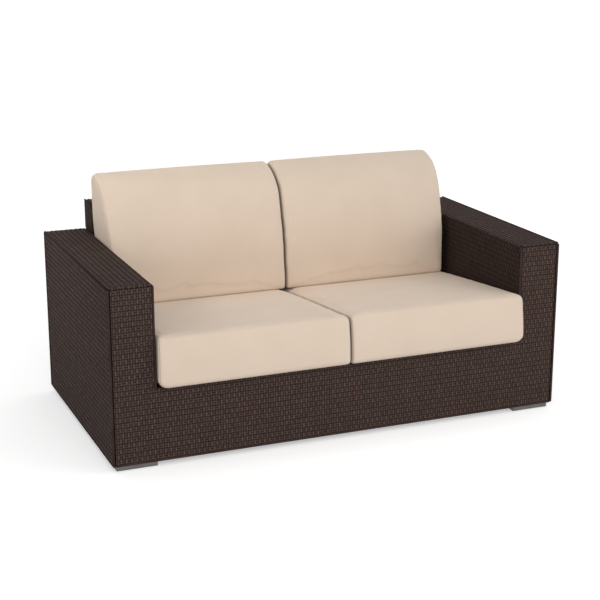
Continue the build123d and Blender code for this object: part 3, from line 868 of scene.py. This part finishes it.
def runEnd(corners):
    last = (Vector(corners[-1]) - Vector(corners[-2])).length
    turn = (Vector(corners[-2]) - Vector(corners[-3])).angle(Vector(corners[-1]) - Vector(corners[-2]))
    return pathLength(corners, len(corners) - 2) + last - skinCorner * math.tan(turn / 2)


outerEdge = outerX - skinCorner
innerEdge = innerX + skinCorner
frontTop = runEnd(frontRun) - skinCorner
for side, sign in sides:
    # The path's sideways axis points to -X in front and to +X behind
    front = (innerEdge, outerEdge) if sign < 0 else (-outerEdge, -innerEdge)
    rear = (innerEdge, outerEdge) if sign > 0 else (-outerEdge, -innerEdge)
    makeWeave(f"{side}_arm_front_strands", frontRun, (0, frontTop), front)
    makeWeave(f"{side}_arm_rear_strands", rearRun, (0, frontTop), rear)

apronLength = pathLength(apronRun, 1) + apronTop - weaveFloor - 2 * skinCorner
makeWeave("apron_strands", apronRun, (0, apronLength), (-innerEdge, innerEdge))
makeWeave("seat_deck_strands", apronRun, (apronLength, runEnd(apronRun)), (-innerX, innerX))

backWidth = (-innerX + skinCorner, innerX - skinCorner)
backTopStart, backTopEnd = pathLength(backRun, 2), pathLength(backRun, 3)
makeWeave("back_rear_strands", backRun, (0, backTopStart), backWidth)
makeWeave("back_top_strands", backRun, (backTopStart, backTopEnd), backWidth)
makeWeave("back_front_strands", backRun, (backTopEnd, runEnd(backRun)), (-innerX, innerX))

for side, sign in sides:
    outer, inner = sign * outerX, sign * innerX
    low = deckHeight(backFrontY)
    armRun = (
        (outer - sign * under, 0, weaveFloor), (outer, 0, weaveFloor), (outer, 0, armTop),
        (inner, 0, armTop), (inner, 0, low),
    )
    overTop = pathLength(armRun, 3)
    span = sideSpan if sign < 0 else (-sideSpan[1], -sideSpan[0])
    makeWeave(f"{side}_arm_strands", armRun, (0, overTop), span, "side")
    innerSpan = (sideSpan[0], backFrontY) if sign < 0 else (-backFrontY, -sideSpan[0])
    # Follows the deck: its line in the flat weave, where the path runs down the inner face
    deckPlace = (overTop + armTop - skinCorner - deckHeight(0), 0, 0)
    deckLine = (math.cos(seatSlope), sign * math.sin(seatSlope), 0)
    makeWeave(
        f"{side}_arm_inner_strands", armRun, (overTop, runEnd(armRun)), innerSpan, "inner",
        cuts=[(deckPlace, deckLine)],
    )
    endRun = (
        (inner - sign * under, 0, armTop - skinCorner), (inner, 0, armTop - skinCorner),
        (inner, 0, backTop), (inner - sign * 2 * skinCorner, 0, backTop),
    )
    endSpan = (backFrontY + skinCorner, rearY - skinCorner)
    endSpan = endSpan if sign < 0 else (-endSpan[1], -endSpan[0])
    endLengths = (pathLength(endRun, 1), pathLength(endRun, 2))
    makeWeave(f"back_{side}_end_strands", endRun, endLengths, endSpan, "inner")
bpy.data.objects.remove(weaveRepeat)
print("strands ready")


# Edge strands: a round strand lies along each outer corner

edging = {
    "radius": 0.0041,
    "rimRadius": 0.0030,
    "reach": 0.0072,
    "outerReach": 0.0110,
    "rimReach": 0.0092,
    "turn": 45,
    "segments": 12,
    "rings": 9,
    "trim": 0.003,
}


def makeCapsule(start, end, radius):
    # A round strand from start to end: a ball drawn out along its middle
    start, end = Vector(start), Vector(end)
    deselectAll()
    bpy.ops.mesh.primitive_uv_sphere_add(
        segments=edging["segments"], ring_count=edging["rings"], radius=radius
    )
    capsule = bpy.context.object
    selectVertices(capsule, lambda place: place.z > 0)
    bpy.ops.transform.translate(value=(0, 0, (end - start).length - 2 * radius))
    bpy.ops.object.mode_set(mode="OBJECT")
    turn = (end - start).to_track_quat("Z", "Y").to_matrix().to_4x4()
    shift = Matrix.Translation(start + (end - start).normalized() * radius)
    capsule.data.transform(shift @ turn)
    return capsule


def makeEdging(name, edges, material=edgeResin, size="radius"):
    # edges: (start, end, the two directions that point outwards, reach) of each corner
    strands = []
    angle = math.radians(edging["turn"])
    for start, end, (first, second), reach in edges:
        start, end, first, second = Vector(start), Vector(end), Vector(first), Vector(second)
        shift = (first * math.cos(angle) + second * math.sin(angle)) * edging[reach]
        shift -= (first + second) * skinCorner
        strands.append(makeCapsule(start + shift, end + shift, edging[size]))
    obj = joinAll(strands, name)
    for face in obj.data.polygons:
        face.use_smooth = True
    return finishPiece(obj, "root", [material])


trim = edging["trim"]
frontOut, rearOut = (0, -1, 0), (0, 1, 0)
upOut, downOut = (0, 0, 1), (0, 0, -1)
low, top = weaveFloor + trim, armTop - trim
front, rear = frontY + trim, rearY - trim
for side, sign in sides:
    outer, inner = sign * outerX, sign * innerX
    outward, inward = (sign, 0, 0), (-sign, 0, 0)
    makeEdging(f"{side}_arm_edging", [
        ((outer, frontY, low), (outer, frontY, top), (frontOut, outward), "outerReach"),
        ((inner, frontY, apronTop - skinCorner), (inner, frontY, top), (frontOut, inward), "reach"),
        ((outer, rearY, low), (outer, rearY, top), (rearOut, outward), "outerReach"),
    ])
    backFront = backFrontY + trim
    # Rims along the arms' bottom and top edges and the top of the back's ends, coloured near black:
    # painted shade along those edges
    makeEdging(f"{side}_arm_rims", [
        ((outer, front, weaveFloor), (outer, rear, weaveFloor), (outward, downOut), "rimReach"),
        ((outer, front, armTop), (outer, rear, armTop), (outward, upOut), "outerReach"),
        ((inner, backFront, backTop), (inner, rear, backTop), (outward, upOut), "outerReach"),
    ], rimShadeResin, "rimRadius")
makeEdging("bottom_edging", [
    ((trim - outerX, y, weaveFloor), (outerX - trim, y, weaveFloor), (direction, downOut), "reach")
    for y, direction in ((frontY, frontOut), (rearY, rearOut))
])
makeEdging("back_edging", [
    ((sign * innerX, y, armTop), (sign * innerX, y, backTop - trim), (direction, (sign, 0, 0)), "reach")
    for side, sign in sides
    for y, direction in ((backFrontY, frontOut), (rearY, rearOut))
])
print("edging ready")


# Cushions: each cover starts from its solid, is remeshed, blown up a little by simulation
# and then sewn, and a foam core goes inside.

cushion = {
    "voxel": 0.0085,
    "coreVoxel": 0.012,
    "coreInset": 0.002,
    "shrink": 0.003,
    "pressure": 4,
    "frames": 20,
    "quality": 6,
    "mass": 0.3,
    "stretchStiffness": 25,
    "shearStiffness": 10,
    "bendingStiffness": 2.5,
    "swell": 0.0020,
    "sink": 0.0010,
    "restClearance": 0.0018,
    "solidRadius": 0.010,
    "cornerRadius": {"left": 0.034, "right": 0.027},
    "topRadius": {"left": 0.020, "right": 0.010},
    "innerRadius": 0.018,
    "sideDraw": 0.003,
    "drawReach": 0.06,
    "drawBlend": 0.05,
    "innerFill": 0.6,
    "gapShade": 0.55,
    # How much a seat cushion's end swells past the arm at its top and at its foot
    "seatBulge": {"left": (0.0035, 0.0075), "right": (0.004, 0.0055)},
    "bulgeReach": 0.09,
    "bulgeStart": 0.003,
    "bulgeBlend": 0.024,
    "seatThickness": 0.168,
    "seatSag": 0.006,
    "sagReach": 0.05,
    "roundStart": 0.05,
    "roundBlend": 0.03,
    "seatShift": 0.0028,
    "shiftStart": -0.3,
    "shiftBlend": 0.1,
    "shiftReach": 0.3,
    # How far a back cushion's end stands in, and how far it leans, at each height
    "backDrop": 0.0025,
    "crownStart": 0.7,
    "crownBlend": 0.1,
    "easeReach": 0.12,
    "leanReach": 0.4,
    "backHeights": (0.44, 0.50, 0.58, 0.65, 0.70, 0.745, 0.79),
    "backEase": {
        "left": (0, 0, 0, -0.004, -0.0045, -0.0045, -0.004),
        "right": (0.0185, 0.0175, 0.0165, 0.015, 0.011, 0.0065, 0.0),
    },
    "backShift": (0.003, 0.0065, 0.0075, 0.0075, 0.004, -0.0015, -0.004),
    "zipDepth": 0.0066,
    "zipWidth": 0.036,
    "zipSlope": 0.005,
    "zipStandOff": 0.0035,
    "zipSlack": 0.0005,
    "zipReach": 0.02,
}
seam = {
    "inset": 0.003,
    "shadeReach": 0.0028,
    "offsets": (-0.0028, -0.0012, 0, 0.0012, 0.0028),
    "profile": ((0, -0.0014), (0.0012, 0), (0.0028, 0.0005), (0.0046, 0)),
}


def smoothStep(value):
    value = np.clip(value, 0, 1)
    return value * value * (3 - 2 * value)


def blowUp(obj, swellTop):
    # Cloth under pressure from a slightly smaller start, with a cap on how far a point may move
    rest = readPoints(obj.data)
    normals = vertexNormals(obj.data)
    writePoints(obj.data, rest - cushion["shrink"] * normals)
    cloth = obj.modifiers.new("cloth", "CLOTH")
    cloth.settings.quality = cushion["quality"]
    cloth.settings.mass = cushion["mass"]
    cloth.settings.tension_stiffness = cushion["stretchStiffness"]
    cloth.settings.compression_stiffness = cushion["stretchStiffness"]
    cloth.settings.shear_stiffness = cushion["shearStiffness"]
    cloth.settings.bending_stiffness = cushion["bendingStiffness"]
    cloth.settings.use_pressure = True
    cloth.settings.uniform_pressure_force = cushion["pressure"]
    cloth.settings.effector_weights.gravity = 0
    cloth.collision_settings.use_collision = False
    cloth.point_cache.frame_start = 1
    cloth.point_cache.frame_end = cushion["frames"]
    for step in range(1, cushion["frames"] + 1):
        bpy.context.scene.frame_set(step)
    applyModifiers(obj)
    bpy.context.scene.frame_set(1)
    move = readPoints(obj.data) - rest
    out = (move * normals).sum(1)
    free = np.maximum(np.clip(-normals[:, 1], 0, 1), swellTop * np.clip(normals[:, 2], 0, 1))
    limit = np.clip(out, -cushion["sink"], cushion["swell"] * free)
    writePoints(obj.data, rest + normals * limit[:, None])


def sideDraw(points, kind, middle, half):
    # How far an end of the cushion is drawn in at each point's height or depth
    axis = 1 if kind == "seat" else 2
    share = (points[:, axis] - middle[axis]) / (half[axis] + cushion["drawReach"])
    near = np.clip((np.abs(points[:, 0] - middle.x) - half.x) / cushion["drawBlend"] + 2, 0, 1)
    return cushion["sideDraw"] * (1 - share ** 2) * near * np.sign(points[:, 0] - middle.x)


def sew(obj, sign, kind, middle, half):
    # A seam round each end, cut with the ends held straight and then drawn in to a groove
    points = readPoints(obj.data)
    points[:, 0] += sideDraw(points, kind, middle, half)
    writePoints(obj.data, points)
    steep = math.sqrt(2)  # the seam lies half-way round a corner
    activate(obj)
    bpy.ops.object.mode_set(mode="EDIT")
    for end in (-1, 1):
        for offset in seam["offsets"]:
            place = (middle.x + end * (half.x - seam["inset"]) + offset / steep, 0, 0)
            bpy.ops.mesh.select_all(action="SELECT")
            bpy.ops.mesh.bisect(plane_co=place, plane_no=(1, 0, 0), threshold=0.0001)
    bpy.ops.object.mode_set(mode="OBJECT")
    points = readPoints(obj.data)
    span = (half.x - seam["inset"] - np.abs(points[:, 0] - middle.x)) * steep
    places, heights = zip(*seam["profile"])
    lift = np.interp(np.abs(span), places, heights)
    points += vertexNormals(obj.data) * lift[:, None]
    points[:, 0] -= sideDraw(points, kind, middle, half)
    writePoints(obj.data, points)
    # The end that meets the other cushion lies in shade
    shaded = ((points[:, 0] - middle.x) * sign < 0) * np.clip(-span / seam["shadeReach"], 0, 1)
    shade = 1 - (1 - cushion["gapShade"]) * shaded
    for name, values in (("seamSpan", span), ("gapShade", shade)):
        attribute = obj.data.attributes.new(name, "FLOAT", "POINT")
        attribute.data.foreach_set("value", values.astype(np.float32))


def roundDrop(span, radius):
    # How much more an edge of that radius falls away than the solid's, at a distance from its end
    falls = []
    for size in (radius, cushion["solidRadius"]):
        reach = np.clip(size - span, 0, size)
        falls.append(size - np.sqrt(size ** 2 - reach ** 2))
    return np.maximum(falls[0] - falls[1], 0)


def fitSeat(points, side, sign, edge, inside):
    # In front of the arms a seat cushion swells past them, and its lower outer corner is round
    outer = smoothStep(1 - edge / cushion["bulgeReach"])
    ahead = smoothStep((frontY - cushion["bulgeStart"] - points[:, 1]) / cushion["bulgeBlend"])
    upward = np.clip((points[:, 2] - deckHeight(points[:, 1])) / cushion["seatThickness"], 0, 1)
    topBulge, lowBulge = cushion["seatBulge"][side]
    drop = roundDrop(edge, cushion["cornerRadius"][side])
    fore = smoothStep((frontY + cushion["roundStart"] - points[:, 1]) / cushion["roundBlend"])
    points[:, 2] += drop * np.clip(1 - 2 * upward, 0, 1) * fore
    sag = cushion["seatSag"] * smoothStep(1 - inside / cushion["sagReach"])
    points[:, 2] -= sag * smoothStep(2 * upward - 1)
    points[:, 0] += sign * outer * ahead * (lowBulge + (topBulge - lowBulge) * upward)
    shift = smoothStep((cushion["shiftStart"] - points[:, 1]) / cushion["shiftBlend"])
    points[:, 0] += cushion["seatShift"] * shift * smoothStep(edge / cushion["shiftReach"])


def fitBack(points, side, sign, edge, inside):
    # A back cushion's outer end may stand off the arm, and its upper corners are round
    ease = np.interp(points[:, 2], cushion["backHeights"], cushion["backEase"][side])
    drop = roundDrop(edge, cushion["topRadius"][side]) + roundDrop(inside, cushion["innerRadius"])
    upper = smoothStep((points[:, 2] - cushion["crownStart"]) / cushion["crownBlend"])
    points[:, 2] -= (drop + cushion["backDrop"]) * upper
    points[:, 0] -= sign * ease * smoothStep(1 - edge / cushion["easeReach"])
    shift = np.interp(points[:, 2], cushion["backHeights"], cushion["backShift"])
    points[:, 0] -= shift * smoothStep(edge / cushion["leanReach"])


def fitCushion(points, side, sign, kind, middle, half):
    # Moves the points of a cover or its core to the shape the cushion has in use
    edge = half.x - (points[:, 0] - middle.x) * sign
    inside = 2 * half.x - edge
    fill = cushion["innerFill"] * np.abs(sideDraw(points, kind, middle, half))
    points[:, 0] -= sign * fill * smoothStep(1 - inside / 0.03)
    if kind == "seat":
        fitSeat(points, side, sign, edge, inside)
    else:
        fitBack(points, side, sign, edge, inside)


def keepClear(points):
    # Flat where it rests on the woven deck and against the back panel
    gap = cushion["restClearance"]
    floor = deckHeight(points[:, 1], gap)
    points[:, 2] = np.maximum(points[:, 2], floor)
    points[:, 1] = np.minimum(points[:, 1], backFrontY - gap)


def pressZip(obj, node):
    # The shallow channel in the rear of a cover that holds its zip
    low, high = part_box(node)
    middle = (low + high) / 2
    points = readPoints(obj.data)
    rise = points[:, 2] - middle.z
    faceY = high.y + cushion["zipStandOff"] - rise * math.tan(seatSlope if "seat" in node else 0)
    across = np.abs(points[:, 0] - middle.x) - (high.x - low.x) / 2
    up = np.abs(rise) - cushion["zipWidth"] / 2
    outside = np.maximum(np.maximum(across, up), 0)
    depth = cushion["zipDepth"] * np.clip(1 - outside / cushion["zipSlope"], 0, 1)
    rear = points[:, 1] > faceY - cushion["zipReach"]
    points[rear, 1] = np.minimum(points[rear, 1], (faceY - depth + cushion["zipSlack"])[rear])
    writePoints(obj.data, points)


def makeCushion(side, sign, kind):
    cover = f"{side}_{kind}_cushion_cover"
    low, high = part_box(cover)
    middle, half = (low + high) / 2, (high - low) / 2
    solid = copyShell(cover, "solidCover")
    obj = bpy.data.objects.new(f"{side}_{kind}_cushion_fabric", solid.data.copy())
    bpy.context.scene.collection.objects.link(obj)
    remesh = obj.modifiers.new("remesh", "REMESH")
    remesh.mode = "VOXEL"
    remesh.voxel_size = cushion["voxel"]
    wrap = obj.modifiers.new("wrap", "SHRINKWRAP")
    wrap.target = solid
    applyModifiers(obj)
    bpy.data.objects.remove(solid)
    blowUp(obj, 1 if kind == "seat" else 0)
    finer = obj.modifiers.new("finer", "SUBSURF")
    finer.levels = 1
    finer.render_levels = 1
    applyModifiers(obj)
    sew(obj, sign, kind, middle, half)
    points = readPoints(obj.data)
    fitCushion(points, side, sign, kind, middle, half)
    keepClear(points)
    writePoints(obj.data, points)
    pressZip(obj, f"{side}_{kind}_cushion_zip")
    for face in obj.data.polygons:
        face.use_smooth = True
    finishPiece(obj, f"{side}_{kind}_cushion", [cushionFabric])
    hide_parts(cover)
    print(obj.name, len(obj.data.polygons), "faces")


def makeFoam(side, sign, kind):
    # The foam core, with the same bends as its cover
    core = f"{side}_{kind}_cushion_core"
    obj = copyShell(core, f"{side}_{kind}_cushion_foam")
    remesh = obj.modifiers.new("remesh", "REMESH")
    remesh.mode = "VOXEL"
    remesh.voxel_size = cushion["coreVoxel"]
    applyModifiers(obj)
    low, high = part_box(f"{side}_{kind}_cushion_cover")
    points = readPoints(obj.data) - cushion["coreInset"] * vertexNormals(obj.data)
    fitCushion(points, side, sign, kind, (low + high) / 2, (high - low) / 2)
    writePoints(obj.data, points)
    finishPiece(obj, f"{side}_{kind}_cushion", [foamCore])
    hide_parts(core)


for side, sign in sides:
    for kind in ("seat", "back"):
        makeCushion(side, sign, kind)
        makeFoam(side, sign, kind)
print("cushions ready")
